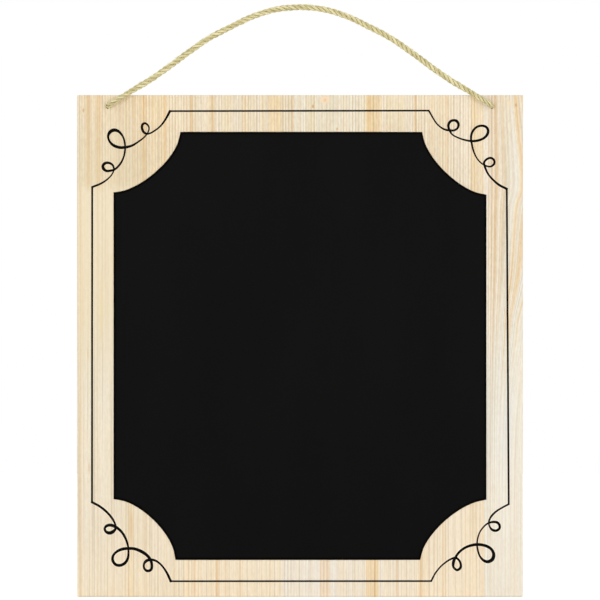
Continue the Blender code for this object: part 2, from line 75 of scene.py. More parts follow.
# The rope's route in metres, as in the part's source: half of its arch about its axis, then its knots
HOLE_X = 0.1312164
HOLE_Z = 0.1637
HOLE_REACH = 0.0035
HINGE_Y = -0.0118
ARCH_RISE = 0.0684
ARCH_POINTS = (
    (0.13122, 0.00000), (0.11626, 0.00971), (0.10248, 0.01792), (0.08883, 0.02757), (0.07519, 0.03783),
    (0.06154, 0.04720), (0.04776, 0.05451), (0.03425, 0.06108), (0.02047, 0.06580), (0.00682, 0.06799),
)
ARCH_STEPS = 8
ARCH_FREE = 0.00895
ARCH_LEAN = 0.0075
KNOT_SCALE = 0.0029
KNOT_LOBE_SHARE = 2.0
KNOT_LIFT = 0.0026
KNOT_LEVEL = 0.00462
KNOT_START = 3.45
KNOT_END = 8.95
KNOT_STEPS = 44
KNOT_TURN = math.radians(240)
KNOT_BEND = 0.0055
KNOT_BEND_STEPS = 8
KNOT_TAIL = ((-0.0040, -0.00012, -0.0010), (-0.0072, -0.00012, -0.0040), (-0.0084, -0.00012, -0.0080))
TAIL_STEPS = 6
HOLE_STEPS = 6
ELBOW_RADIUS = 0.0045
ELBOW_DEPTH = 0.0003
ELBOW_STEPS = 10
ELBOW_EASE = 0.014
ELBOW_CLEAR_SHARE = 1.3
ROUTE_PASSES = 4

# The rope's strands, as shares of its diameter, and how thick it is along its way
PROFILE_POINTS = 20
YARNS = 5
YARN_TONES = (0.95, 0.25, 0.60, 0.10, 0.45)
YARN_DIP_SHARE = 0.055
STRAND_RADIUS_SHARE = 0.246
STRAND_OFFSET_SHARE = 0.254
KNOT_ROPE_SHARE = 0.90
HOLE_ROPE_SHARE = 0.80
INSIDE_HOLE = 0.0012
FREE_ROPE_SHARE = 1.07
UNEVEN_SHARE = 0.09
UNEVEN_PITCH = 0.11
THIN_SHARE = 0.74
THIN_START = 0.003
THIN_LENGTH = 0.022
THICKNESS_PASSES = 3
HAIR_SEED = 7
HAIR_WIDTH_SHARE = 0.009
HAIR_REACH_SHARES = (0.35, 1.1)
HAIR_LIFT_SHARES = (0.10, 0.50)
HAIR_CURL_SHARES = (-0.5, 0.5)
HAIR_ROOT_SHARE = 0.72
HAIR_PLACES = (0, 0.3, 0.65, 1)
HAIR_DEPTH = 1.1
HAIR_TONE = 0.8


def screen_colour(red, green, blue):
    """A colour as a screen shows it, 0 to 255, as the linear values that a shader takes."""
    shares = [channel / 255 for channel in (red, green, blue)]
    return tuple(
        share / 12.92 if share <= 0.04045 else ((share + 0.055) / 1.055) ** 2.4 for share in shares
    ) + (1.0,)


# Streaks of each stave, in millimetres across the board: a band is left, right, tone, strength and how
# clearly the year rings show in it; a line is its place, half width, tone and strength
TOP_BANDS = (
    ((-153.0, -142.6, "pale", 0.15, 0.45), (-142.2, -125.0, "amber", 0.20, 0.45),
     (-114.4, -91.6, "amber", 0.35, 0.8), (-91.4, -79.2, "amber", 0.15, 0.6)),
    ((-73.1, -68.4, "grey", 0.2, 0.25), (-68.0, -60.8, "amber", 0.15, 0.4),
     (-54.0, -40.0, "grey", 0.12, 0.6), (-21.5, -13.2, "amber", 0.5, 0.7)),
    ((11.0, 20.4, "grey", 0.2, 0.3), (20.6, 24.6, "grey", 0.30, 0.2), (24.8, 31.0, "pale", 0.1, 0.4),
     (45.2, 56.5, "amber", 0.65, 0.6)),
    ((56.8, 76.5, "grey", 0.15, 0.25), (80.0, 92.0, "amber", 0.15, 0.8), (110.8, 116.2, "pale", 0.0, 0.2),
     (117.2, 124.4, "amber", 0.35, 0.5), (124.6, 126.4, "pale", 0.0, 0.1)),
    ((125.0, 128.0, "pale", 0.2, 0.1), (138.6, 145.4, "pale", 0.6, 0.25), (146.2, 148.6, "amber", 0.7, 0.3),
     (151.0, 155.0, "amber", 0.6, 0.3), (155.4, 161.4, "pale", 0.9, 0.15), (161.8, 163.6, "amber", 0.5, 0.2),
     (164.0, 192.0, "pale", 0.8, 0.2)),
)

# Year lines of the last stave, at their places in its straight top; further down they come in from
# the right
SWUNG_LINES = (
    (126.8, 0.8, "orange", 0.15), (129.2, 0.8, "orange", 0.3), (131.3, 0.8, "orange", 0.9),
    (133.6, 1.3, "orange", 1.0), (138.0, 0.8, "orange", 0.6), (143.0, 0.7, "orange", 0.45),
    (147.4, 1.3, "orange", 0.35), (153.2, 1.7, "orange", 0.45), (162.6, 1.0, "orange", 0.4),
    (175.6, 1.1, "orange", 0.4),
)
SWUNG_FADE = 0.2
TOP_LINES = (
    ((-144.8, 2.6, "orange", 0.85), (-137.0, 2.4, "orange", 0.6), (-122.3, 0.9, "orange", 0.6),
     (-113.4, 0.9, "orange", 0.6), (-106.6, 1.0, "orange", 1.0), (-92.3, 0.9, "orange", 0.7)),
    ((-77.6, 0.9, "orange", 0.5), (-74.1, 1.3, "orange", 1.0), (-59.8, 1.2, "orange", 0.85),
     (-37.9, 0.9, "orange", 0.5), (-21.4, 0.8, "orange", 0.15)),
    ((-11.5, 0.9, "brown", 0.45), (-9.6, 0.8, "orange", 0.6), (-7.2, 0.8, "orange", 0.6),
     (-5.1, 1.0, "orange", 1.0), (-1.0, 0.8, "orange", 0.5), (26.0, 0.8, "orange", 0.4),
     (29.7, 0.8, "orange", 0.4), (47.2, 0.8, "orange", 0.6), (49.9, 0.9, "brown", 0.35),
     (52.6, 0.8, "orange", 0.35)),
    ((78.9, 1.3, "orange", 0.85), (100.8, 1.0, "orange", 0.8), (117.3, 0.7, "orange", 0.2)),
    SWUNG_LINES,
)
BOTTOM_BANDS = (
    ((-117.6, -113.4, "amber", 0.40, 0.8),),
    ((-79.0, -77.0, "pale", 0.0, 0.6),),
    ((-11.6, 12.3, "pale", 0.0, 0.9), (13.4, 20.1, "pink", 0.55, 0.2), (21.2, 24.6, "pale", 0.2, 0.3),
     (26.0, 42.0, "amber", 0.12, 0.8), (45.1, 54.0, "amber", 0.70, 0.5)),
    ((80.0, 87.0, "amber", 0.25, 0.6), (88.0, 102.0, "amber", 0.12, 0.8),
     (112.0, 123.0, "amber", 0.12, 0.8)),
    ((126.0, 128.0, "pale", 0.0, 0.6), (172.0, 200.0, "amber", 0.15, 0.8)),
)
BOTTOM_LINES = (
    ((-150.0, 1.0, "orange", 0.6), (-128.0, 1.0, "orange", 0.3), (-105.0, 0.8, "orange", 0.35)),
    ((-76.2, 0.9, "orange", 0.45), (-72.1, 1.3, "orange", 0.7), (-67.0, 1.0, "orange", 0.35),
     (-56.4, 1.3, "orange", 0.9), (-50.6, 0.9, "orange", 0.4), (-40.7, 0.7, "brown", 0.45)),
    ((46.8, 0.8, "orange", 0.2), (49.2, 1.0, "orange", 0.15), (51.2, 0.8, "brown", 0.8)),
    ((66.6, 1.2, "orange", 0.65), (82.4, 1.2, "orange", 0.85), (87.8, 0.8, "orange", 0.45),
     (98.1, 0.8, "orange", 0.45), (113.0, 0.9, "orange", 0.3), (124.6, 1.0, "orange", 0.4)),
    tuple((place, width, tone, strength * SWUNG_FADE) for place, width, tone, strength in SWUNG_LINES),
)

# Where each stave's top set gives way to its bottom one: the level and the height it takes, and the
# depths in the wood between which the bottom one fades, all in metres
CHANGE_LEVELS = ((0.1080, 0.010), (0.0, 0.16), (0.0, 0.16), (0.0, 0.16), (0.0, 0.16))
CHANGE_DEPTHS = (0.0070, 0.0030)
TOP_RING_SHARE = 1.25
BOTTOM_RING_SHARES = (0.26, 0.26, 0.26, 0.26, 0.50)
BOTTOM_CALM = 0.6
BAND_FEATHER = 0.25
PLAIN_RINGS = 0.8
PLAIN_WOOD = screen_colour(239, 223, 194)
WHITE = (1.0, 1.0, 1.0, 1.0)

# How far the last stave's year lines have come in from the right, in millimetres, at levels in metres
SWING_STEPS = (
    (0.1715, 0.0), (0.1476, -2.05), (0.1237, -4.10), (0.1066, -4.10), (0.0964, -1.37), (0.0793, 0.68),
    (0.0574, 2.73), (0.0451, 4.78), (0.0314, 8.88), (0.0178, 14.35), (0.0041, 17.77), (-0.0096, 23.24),
    (-0.0232, 29.39), (-0.0437, 36.22), (-0.0574, 39.64), (-0.0847, 43.05), (-0.1715, 44.42),
)

# The curve's levels in metres and drifts in millimetres, the last place of its streaks in millimetres,
# and where the swing starts in metres, over what width it comes in and how steeply
SWING_LEVEL = 0.1715
SWING_LEAST = -10.0
SWING_SPAN = 60.0
SWUNG_RIGHT = 196.0
SWING_START = 0.1285
SWING_REACH = 0.0219
SWING_POWER = 1.3

# Marks in the wood: stave, then X, Z, half width and half height in millimetres, tone and strength
MARKS = (
    (1, -148.0, 161.0, 0.9, 2.2, "brown", 0.9), (1, -126.8, 117.0, 0.5, 7.0, "orange", 0.8),
    (1, -135.6, 24.0, 1.2, 34.0, "amber", 1.0), (1, -144.9, -5.5, 0.9, 6.0, "orange", 0.6),
    (1, -144.2, -83.0, 0.9, 5.5, "orange", 0.6), (1, -115.5, -123.0, 2.0, 17.0, "orange", 0.5),
    (3, 17.1, 168.5, 5.0, 4.0, "pink", 1.0), (3, 17.1, 168.0, 1.6, 1.8, "orange", 0.8),
    (3, 8.9, 163.7, 1.1, 1.8, "brown", 1.0), (3, 25.3, 148.3, 0.9, 1.4, "brown", 0.9),
    (4, 58.8, 149.5, 1.3, 2.6, "pink", 0.9), (5, 147.6, 164.6, 1.1, 1.7, "brown", 1.0),
    (5, 143.0, 166.0, 2.0, 2.6, "amber", 0.7), (1, -140.0, 60.0, 70.0, 128.0, "shade", 0.85),
    (1, -139.5, 62.0, 60.0, 115.0, "amber", 0.45), (5, 146.0, -78.0, 17.0, 75.0, "pale", 0.20),
    (5, 147.0, 100.0, 9.0, 70.0, "pale", 0.20), (5, 137.0, -40.0, 16.0, 70.0, "shade", 0.30),
    (1, -140.0, -85.0, 70.0, 90.0, "shade", 0.25),
)
MARK_DEPTHS = (0.0030, 0.0010)
MARK_HALF_DEPTH = 10.0
MARK_CORE = 0.3

# Base tone of each stave at its top and bottom ends; the bottom ones are lighter, partly the wood's own tone
# and partly painted light that evens out the floor's shade on the board's lower half
BASE_TONES = (
    ((239, 227, 204), (247, 235, 213)), ((238, 228, 208), (253, 240, 217)),
    ((237, 230, 212), (250, 243, 231)), ((241, 230, 209), (249, 238, 219)),
    ((237, 228, 211), (247, 244, 236)),
)

# Noise that darkens the wood: stretch, detail, roughness, where it starts and is full, how much, its tint
HUES = ((190.0, 1.0, 60.0), 1.5, 0.6, 0.36, 0.66, 1.0, (1.0, 0.962, 0.870, 1.0))
HAIRLINES = ((900.0, 1.0, 300.0), 0.0, 0.5, 0.45, 0.72, 1.0, (0.860, 0.835, 0.795, 1.0))
FIBRES = ((1900.0, 1900.0, 34.0), 3.0, 0.6, 0.35, 0.65, 0.8, (0.955, 0.935, 0.905, 1.0))
FLECKS = ((640.0, 640.0, 190.0), 2.0, 0.8, 0.33, 0.67, 1.0, (0.925, 0.885, 0.850, 1.0))
SLOW_TONES = ((46.0, 46.0, 5.0), 2.0, 0.5, 0.35, 0.7, 0.5, (1.0, 0.968, 0.905, 1.0))
END_GRAIN_TINT = (0.86, 0.79, 0.69, 1.0)
END_GRAIN_FACING = (0.75, 0.98)

# How the grain leans and wanders, and how its year lines are spaced and clouded
GRAIN_LEAN = (0.35, 0.9)
WANDER_STRETCH = (14.0, 20.0, 5.0)
WANDER_SLOPE = 1.2
WANDER_REACH = 0.0012
GRAIN_RISE = 0.02
YEAR_STRETCH = (110.0, 1.0, 60.0)
YEAR_DRIFT = 6.0
YEAR_STAGGER = 1.7
YEAR_WAVE = (-0.2, 0.95)
PATCH_STRETCH = (330.0, 1.0, 160.0)
PATCH_RANGE = (0.3, 0.68, 0.55, 1.2)
PINE_ROUGH_CHANGE = 0.07

# How far each finish is raised, in metres, and two deeper tones: the painted shade along the writing panel's
# edge, and thin ink
PINE_BUMP = 0.00006
RING_BUMP_SHARE = -0.6
PAINT_BUMP = 0.00005
ROPE_BUMP = 0.00016
PAINT_EDGE_SHADE_TONE = (0.0008, 0.0008, 0.0008, 1.0)
THIN_INK_TONE = (0.030, 0.024, 0.018, 1.0)

# The stage: lamps by name, place and size in metres, the lens in millimetres, and the floor in metres
LAMP_AIM = (0, 0, 0.03)
LAMPS = (
    ("front_left_lamp", (-3.4, -4.4, 0.4), 3.2),
    ("front_right_lamp", (3.4, -4.4, 0.4), 3.2),
    ("back_lamp", (1.2, 4.6, 2.2), 2.4),
)
LENS = 200
SENSOR_WIDTH = 36
VIEW_END = 20
FLOOR_HALF = 1.6
FLOOR_DROP = 0.0003
FLOOR_TONE = (0.92, 0.92, 0.92, 1.0)
FLOOR_GLOW = 0.45


def colour_setting(name, description, default):
    """A colour that a user can change."""
    return FloatVectorProperty(
        name=name, description=description, default=default, subtype="COLOR", size=4, min=0, max=1,
    )


def length_setting(name, description, default, least, most):
    """A length in metres that a user can change."""
    return FloatProperty(
        name=name, description=description, default=default, unit="LENGTH", min=least, max=most,
    )


class PineLook(bpy.types.PropertyGroup):
    """Tones and grain of the pine staves."""

    pale: colour_setting("Pale", "The lightest sapwood", screen_colour(233, 231, 222))
    amber: colour_setting("Amber", "Broad resinous bands", screen_colour(238, 214, 170))
    orange: colour_setting("Orange", "Clear late wood lines", screen_colour(227, 191, 142))
    brown: colour_setting("Brown", "Dark lines and specks", screen_colour(204, 166, 118))
    pink: colour_setting("Pink", "Flat cut patches", screen_colour(235, 210, 179))
    grey: colour_setting("Grey", "Cooler, weathered wood", screen_colour(208, 205, 190))
    shade: colour_setting("Shade", "Multiplied over broad darker areas", (0.80, 0.88, 0.97, 1.0))
    ring_spacing: length_setting("Ring spacing", "From one fine year line to the next", 0.0020, 0.0005, 0.02)
    ring_tint: colour_setting("Ring tint", "What the year lines do to the wood", (0.850, 0.830, 0.790, 1.0))
    ring_strength: FloatProperty(
        name="Ring strength", description="How much darker the fine year lines are", subtype="FACTOR",
        default=1.0, min=0, max=1,
    )
    roughness: FloatProperty(
        name="Roughness", description="Sanded, unvarnished wood", subtype="FACTOR",
        default=0.62, min=0, max=1,
    )


class ChalkLook(bpy.types.PropertyGroup):
    """The painted writing panel and the printed border."""

    paint: colour_setting("Paint", "Chalkboard paint", (0.0036, 0.0036, 0.0036, 1.0))
    dust: colour_setting("Dust", "Faint wiped chalk", (0.0052, 0.0052, 0.0051, 1.0))
    # Painted shade: the width of the deeper black band along the panel's edge, standing in for the lip's
    # shadow
    edge_shade_width: length_setting(
        "Edge shade width", "Deeper black where the paint is thick along its edge", 0.0013, 0.0002, 0.01,
    )
    ink: colour_setting("Ink", "Printed line", (0.0022, 0.0019, 0.0017, 1.0))
    ink_stand: length_setting("Ink stand", "How far the ink stands off the wood", 0.00005, 0.00001, 0.0005)


class RopeLook(bpy.types.PropertyGroup):
    """The twisted cord that the board hangs by."""

    diameter: length_setting("Diameter", "Across all the strands", 0.0040, 0.001, 0.01)
    strands: IntProperty(
        name="Strands", description="Strands laid together", default=3, min=2, max=4,
    )
    lay: length_setting("Lay", "Length of one full turn of a strand", 0.0118, 0.004, 0.05)
    yarn_lay: length_setting(
        "Yarn lay", "Length of one full turn of the yarns in a strand", 0.0300, 0.003, 0.1,
    )
    ring_spacing: length_setting(
        "Ring spacing", "Step between the rings of the rope's mesh", 0.0007, 0.0003, 0.002,
    )
    hairs: IntProperty(
        name="Hairs", description="Loose fibres that stand off the rope", default=1100, min=0, max=5000,
    )
    straw: colour_setting("Straw", "Main fibre colour", screen_colour(206, 195, 146))
    light_straw: colour_setting("Light straw", "Fibres that catch the light", screen_colour(232, 222, 176))
    dark_straw: colour_setting("Dark straw", "Darker fibres", screen_colour(176, 166, 112))
    # Painted shade: the dark colour laid into the hollows between the strands
    groove_shade: colour_setting("Groove shade", "Deep between the strands", screen_colour(132, 120, 66))


class StageLook(bpy.types.PropertyGroup):
    """Camera, floor and lamps."""

    camera_distance: length_setting("Camera distance", "From the board's front to the lens", 2.278, 0.5, 10)
    camera_height: length_setting("Camera height", "Above the middle of the board", 0.0314, -1, 1)
    daylight: FloatProperty(
        name="Daylight", description="Even light from all round", default=0.845, min=0, max=2,
    )
    lamp_power: FloatProperty(
        name="Lamp power", description="Each of the soft front lamps", subtype="POWER",
        default=69, min=0, max=1000,
    )


def fill(tree, node, inputs):
    """Link other nodes' outputs into a node's inputs, or set plain values on them."""
    for key, value in inputs.items():
        if isinstance(value, bpy.types.NodeSocket):
            tree.links.new(value, node.inputs[key])
        else:
            node.inputs[key].default_value = value


def add_node(tree, kind, inputs=(), **settings):
    """A new shader node with its settings and what its inputs get."""
    node = tree.nodes.new(kind)
    for name, value in settings.items():
        setattr(node, name, value)
    fill(tree, node, dict(inputs))
    return node


def figure(tree, operation, *values):
    """The result of a Math node."""
    return add_node(tree, "ShaderNodeMath", enumerate(values), operation=operation).outputs["Value"]


def vector_figure(tree, operation, *vectors):
    """A Vector Math node."""
    return add_node(tree, "ShaderNodeVectorMath", enumerate(vectors), operation=operation)


def spread(tree, value, low, high, to_low=0.0, to_high=1.0, smooth=True):
    """A value carried over from one range to another, and held at its ends."""
    parts = enumerate((value, low, high, to_low, to_high))
    kind = "SMOOTHSTEP" if smooth else "LINEAR"
    return add_node(tree, "ShaderNodeMapRange", parts, interpolation_type=kind).outputs["Result"]


def tint(tree, share, first, second, way="MIX"):
    """Two colours put together by a share."""
    parts = {0: share, 6: first, 7: second}
    return add_node(tree, "ShaderNodeMix", parts, data_type="RGBA", blend_type=way).outputs[2]


def stored(tree, name, output="Fac"):
    """A value that the piece's own mesh holds under a name."""
    return add_node(tree, "ShaderNodeAttribute", attribute_name=name).outputs[output]


def clouds(tree, vector, scales, detail=2.0, roughness=0.5):
    """A noise value from 0 to 1, over coordinates stretched axis by axis."""
    place = vector_figure(tree, "MULTIPLY", vector, scales).outputs["Vector"]
    parts = {"Vector": place, "Scale": 1.0, "Detail": detail, "Roughness": roughness}
    return add_node(tree, "ShaderNodeTexNoise", parts).outputs["Fac"]


def veil(tree, colour, vector, kind, calm=None):
    """A colour darkened by a tint where its noise is high, and that noise; calm is a share of the tint."""
    scales, detail, roughness, low, high, most, tone = kind
    noise_value = clouds(tree, vector, scales, detail, roughness)
    shown = spread(tree, noise_value, low, high, 0.0, most)
    if calm is not None:
        shown = figure(tree, "MULTIPLY", shown, calm)
    return tint(tree, shown, colour, tone, "MULTIPLY"), noise_value


def tone_ramp(tree, place, stops):
    """A colour ramp over 0 to 1 from (position, colour) stops; the output's alpha comes too."""
    node = add_node(tree, "ShaderNodeValToRGB", {"Fac": place})
    elements = node.color_ramp.elements
    for position, colour in stops[1:-1]:
        elements.new(position).color = colour
    elements[0].position, elements[0].color = stops[0]
    elements[-1].position, elements[-1].color = stops[-1]
    return node.outputs["Color"], node.outputs["Alpha"]


def new_finish(name, roughness, specular):
    """A Principled material with its tree and shader."""
    material = bpy.data.materials.new(name)
    material.use_nodes = True
    shader = material.node_tree.nodes["Principled BSDF"]
    shader.inputs["Roughness"].default_value = roughness
    shader.inputs["Specular IOR Level"].default_value = specular
    return material, material.node_tree, shader


def add_bump(tree, shader, height, distance):
    """Raise the surface by a height value."""
    bump = add_node(tree, "ShaderNodeBump", {"Height": height, "Distance": distance})
    fill(tree, shader, {"Normal": bump.outputs["Normal"]})


def new_object(name, data):
    """A new object in the scene."""
    thing = bpy.data.objects.new(name, data)
    bpy.context.scene.collection.objects.link(thing)
    return thing


def show_piece(name, mesh, material):
    """Show a finished mesh as a piece with its one material."""
    mesh.materials.append(material)
    return new_object(name, mesh)


def merged_copy(node_name):
    """A bmesh of a CAD node with its loose triangles joined up."""
    shape = bmesh.new()
    shape.from_mesh(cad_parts[node_name].data)
    bmesh.ops.remove_doubles(shape, verts=shape.verts, dist=MERGE_DISTANCE)
    return shape


def finished_mesh(name, shape, smooth_angle=None):
    """A mesh from a bmesh, shaded smooth below an angle."""
    mesh = bpy.data.meshes.new(name)
    shape.to_mesh(mesh)
    shape.free()
    if smooth_angle is not None:
        mesh.shade_smooth()
        mesh.set_sharp_from_angle(angle=smooth_angle)
    return mesh


def mixed_tone(look, base, tone, strength):
    """The base tone drawn towards a named tone of the wood, which is as light as its base allows."""
    level = base[0] / look.amber[0]
    target = [min(1, channel * level) for channel in getattr(look, tone)]
    return [first + (second - first) * strength for first, second in zip(base, target)]


def band_stops(look, bands, base, left, right):
    """Ramp stops for broad bands; the alpha is how clearly the year rings show."""
    plain = (*base[:3], PLAIN_RINGS)
    stops = [(0.0, plain)]
    for low, high, tone, strength, rings in bands:
        colour = (*mixed_tone(look, base, tone, strength)[:3], rings)
        for place, shown in (
            (low - BAND_FEATHER, plain), (low + BAND_FEATHER, colour),
            (high - BAND_FEATHER, colour), (high + BAND_FEATHER, plain),
        ):
            stops.append(((place - left) / (right - left), shown))
    stops.append((1.0, plain))
    return tidy_stops(stops)


def line_stops(look, lines, left, right):
    """Ramp stops for thin lines, as a tint over the wood."""
    stops = [(0.0, WHITE)]
    for place, width, tone, strength in lines:
        shade = [second / first for first, second in zip(PLAIN_WOOD, getattr(look, tone))]
        peak = tuple(1 + (share - 1) * strength for share in shade[:3]) + (1.0,)
        for spot, shown in ((place - width, WHITE), (place, peak), (place + width, WHITE)):
            stops.append(((spot - left) / (right - left), shown))
    stops.append((1.0, WHITE))
    return tidy_stops(stops)


def tidy_stops(stops):
    """Keep the stops in rising order; those past an end give that end its colour."""
    before = [colour for position, colour in stops if position <= 0]
    after = [colour for position, colour in stops if position >= 1]
    kept = [(0.0, before[-1])]
    for position, colour in stops:
        if 0 < position < 1:
            kept.append((max(position, kept[-1][0]), colour))
    kept.append((1.0, after[0]))
    if len(kept) > RAMP_STOPS:
        raise ValueError(f"a ramp takes {RAMP_STOPS} stops, and this one has {len(kept)}")
    return kept


def swung_place(tree, x, z, across):
    """The place across the grain where the year lines swing in from the right on their way down."""
    stops = [
        ((level + SWING_LEVEL) / (2 * SWING_LEVEL), (drift - SWING_LEAST) / SWING_SPAN)
        for level, drift in SWING_STEPS
    ]
    height = spread(tree, z, -SWING_LEVEL, SWING_LEVEL, smooth=False)
    swing = add_node(tree, "ShaderNodeFloatCurve", {"Value": height})
    curve = swing.mapping.curves[0]
    curve.points[0].location = stops[-1]
    curve.points[1].location = stops[0]
    for position, drift in stops[1:-1]:
        curve.points.new(position, drift)
    swing.mapping.update()
    least = SWING_LEAST / MM
    drift = spread(tree, swing.outputs["Value"], 0.0, 1.0, least, least + SWING_SPAN / MM, smooth=False)
    reach = figure(tree, "DIVIDE", figure(tree, "SUBTRACT", x, SWING_START), SWING_REACH)
    reach = figure(tree, "POWER", figure(tree, "MAXIMUM", reach, 0.0), SWING_POWER)
    return figure(tree, "MULTIPLY_ADD", drift, reach, across)


def grain_place(tree, number, place, x, z, depth):
    """Where a point lies across the grain, which leans and wanders through the thickness."""
    random.seed(number)
    lean = random.uniform(*GRAIN_LEAN) * random.choice((-1, 1))
    wander = figure(tree, "SUBTRACT", clouds(tree, place, WANDER_STRETCH, 1.0), 0.5)
    slope = figure(tree, "MULTIPLY_ADD", wander, WANDER_SLOPE, lean)
    across = figure(tree, "MULTIPLY_ADD", depth, slope, x)
    across = figure(tree, "MULTIPLY_ADD", wander, WANDER_REACH, across)
    return swung_place(tree, x, z, across) if number == len(STAVES) else across


def streaked_wood(tree, look, number, across, lower):
    """The stave's broad bands and clear lines, and how clearly its year rings show in them."""
    low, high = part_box(STAVES[number - 1])
    left = low.x * MM
    right = SWUNG_RIGHT if number == len(STAVES) else high.x * MM
    share = spread(tree, across, left / MM, right / MM, smooth=False)
    tones = []
    rings = []
    tints = []
    streaks = zip((TOP_BANDS, BOTTOM_BANDS), (TOP_LINES, BOTTOM_LINES), BASE_TONES[number - 1])
    for bands, lines, base in streaks:
        stops = band_stops(look, bands[number - 1], screen_colour(*base), left, right)
        tone, ring = tone_ramp(tree, share, stops)
        tones.append(tone)
        rings.append(ring)
        tints.append(tone_ramp(tree, share, line_stops(look, lines[number - 1], left, right))[0])
    colour = tint(tree, 1.0, tint(tree, lower, *tones), tint(tree, lower, *tints), "MULTIPLY")
    upper_share = spread(tree, lower, 0.0, 1.0, TOP_RING_SHARE, 0.0, smooth=False)
    lower_share = figure(tree, "MULTIPLY", lower, BOTTOM_RING_SHARES[number - 1])
    lower_rings = figure(tree, "MULTIPLY", rings[1], lower_share)
    return colour, figure(tree, "MULTIPLY_ADD", rings[0], upper_share, lower_rings)


def year_lines(tree, look, number, line_place, across, rings):
    """How dark the fine year lines are: unevenly spaced, unevenly dark, and clearer in some bands."""
    uneven = clouds(tree, line_place, YEAR_STRETCH, 1.0)
    phase = figure(tree, "MULTIPLY_ADD", uneven, YEAR_DRIFT, number * YEAR_STAGGER)
    wave = figure(tree, "SINE", figure(tree, "MULTIPLY_ADD", across, math.tau / look.ring_spacing, phase))
    patches = spread(tree, clouds(tree, line_place, PATCH_STRETCH), *PATCH_RANGE)
    ring = figure(tree, "MULTIPLY", spread(tree, wave, *YEAR_WAVE), patches)
    return figure(tree, "MULTIPLY", figure(tree, "MULTIPLY", ring, rings), look.ring_strength)


def marked_front(tree, look, number, place, depth, colour):
    """The small marks and broad areas on the stave's front, fading out in the wood; "shade" is a tint."""
    front = spread(tree, depth, *MARK_DEPTHS)
    for stave, mark_x, mark_z, half_width, half_height, tone, strength in MARKS:
        if stave != number:
            continue
        middle = (mark_x / MM, FRONT_Y, mark_z / MM)
        scales = (MM / half_width, MM / MARK_HALF_DEPTH, MM / half_height)
        centred = vector_figure(tree, "SUBTRACT", place, middle).outputs["Vector"]
        scaled = vector_figure(tree, "MULTIPLY", centred, scales).outputs["Vector"]
        far = vector_figure(tree, "LENGTH", scaled).outputs["Value"]
        shown = spread(tree, far, 1.0, MARK_CORE, 0.0, strength)
        way = "MULTIPLY" if tone == "shade" else "MIX"
        colour = tint(tree, figure(tree, "MULTIPLY", shown, front), colour, getattr(look, tone), way)
    return colour


def pine_finish(look, number):
    """The wood of one stave, with its own streaks, rings and marks."""
    material, tree, shader = new_finish(f"pine_{number}", look.roughness, 0.25)
    texture = add_node(tree, "ShaderNodeTexCoord")
    place = texture.outputs["Object"]
    x, y, z = add_node(tree, "ShaderNodeSeparateXYZ", {"Vector": place}).outputs
    depth = figure(tree, "SUBTRACT", y, FRONT_Y)
    across = grain_place(tree, number, place, x, z, depth)

    # Streaks of the top end give way to those of the bottom end, out of sight in the three middle staves
    level, height = CHANGE_LEVELS[number - 1]
    lower = spread(tree, z, level + height / 2, level - height / 2)
    lower = figure(tree, "MULTIPLY", lower, spread(tree, depth, *CHANGE_DEPTHS))
    colour, rings = streaked_wood(tree, look, number, across, lower)

    # Fine lines that run along the grain, then fibres, short flecks and slow changes of tone
    parts = {"X": across, "Z": figure(tree, "MULTIPLY", z, GRAIN_RISE)}
    line_place = add_node(tree, "ShaderNodeCombineXYZ", parts).outputs["Vector"]
    ring = year_lines(tree, look, number, line_place, across, rings)
    colour = tint(tree, ring, colour, look.ring_tint, "MULTIPLY")
    calm = spread(tree, lower, 0.0, 1.0, 1.0, BOTTOM_CALM, smooth=False)
    colour, _ = veil(tree, colour, line_place, HUES, calm)
    colour, _ = veil(tree, colour, line_place, HAIRLINES)
    colour, fibre = veil(tree, colour, place, FIBRES)
    colour, _ = veil(tree, colour, place, FLECKS, calm)
    colour, _ = veil(tree, colour, place, SLOW_TONES)

    # Marks on the front, and the darker end grain
    colour = marked_front(tree, look, number, place, depth, colour)
    facing = add_node(tree, "ShaderNodeSeparateXYZ", {"Vector": texture.outputs["Normal"]}).outputs["Z"]
    end_grain = spread(tree, figure(tree, "ABSOLUTE", facing), *END_GRAIN_FACING)
    low_rough = look.roughness - PINE_ROUGH_CHANGE
    high_rough = look.roughness + PINE_ROUGH_CHANGE
    fill(tree, shader, {
        "Base Color": tint(tree, end_grain, colour, END_GRAIN_TINT, "MULTIPLY"),
        "Roughness": spread(tree, fibre, 0.3, 0.7, low_rough, high_rough),
    })
    add_bump(tree, shader, figure(tree, "MULTIPLY_ADD", ring, RING_BUMP_SHARE, fibre), PINE_BUMP)
    return material


def paint_finish(look):
    """Dead matt chalkboard paint with faintly wiped dust, and painted shade: a deeper black along its edge,
    where the frame's lip shades it.
    """
    material, tree, shader = new_finish("chalk_black", 0.9, 0.05)
    places = add_node(tree, "ShaderNodeTexCoord").outputs["Object"]
    wiped = clouds(tree, places, (26.0, 26.0, 9.0), 3.0, 0.55)
    grains = clouds(tree, places, (1400.0, 1400.0, 1400.0), 2.0, 0.6)
    colour = tint(tree, spread(tree, wiped, 0.3, 0.7), look.paint, look.dust)
    colour = tint(tree, spread(tree, grains, 0.35, 0.7, 0.0, 0.35), colour, look.dust)
    # Painted shade: a deeper black along the panel's edge, where the frame's lip shades it
    colour = tint(tree, stored(tree, "rim"), colour, PAINT_EDGE_SHADE_TONE)
    fill(tree, shader, {"Base Color": colour, "Roughness": spread(tree, wiped, 0.3, 0.7, 0.84, 0.95)})
    add_bump(tree, shader, grains, PAINT_BUMP)
    return material


def ink_finish(look):
    """Printed ink, a little thin where the wood's fibres show through."""
    material, tree, shader = new_finish("ink", 0.7, 0.05)
    places = add_node(tree, "ShaderNodeTexCoord").outputs["Object"]
    fibre = clouds(tree, places, (2400.0, 2400.0, 60.0), 3.0, 0.6)
    thin = spread(tree, fibre, 0.55, 0.85, 0.0, 0.35)
    fill(tree, shader, {
        "Base Color": tint(tree, thin, look.ink, THIN_INK_TONE),
        "Roughness": spread(tree, fibre, 0.3, 0.7, 0.5, 0.7),
    })
    return material


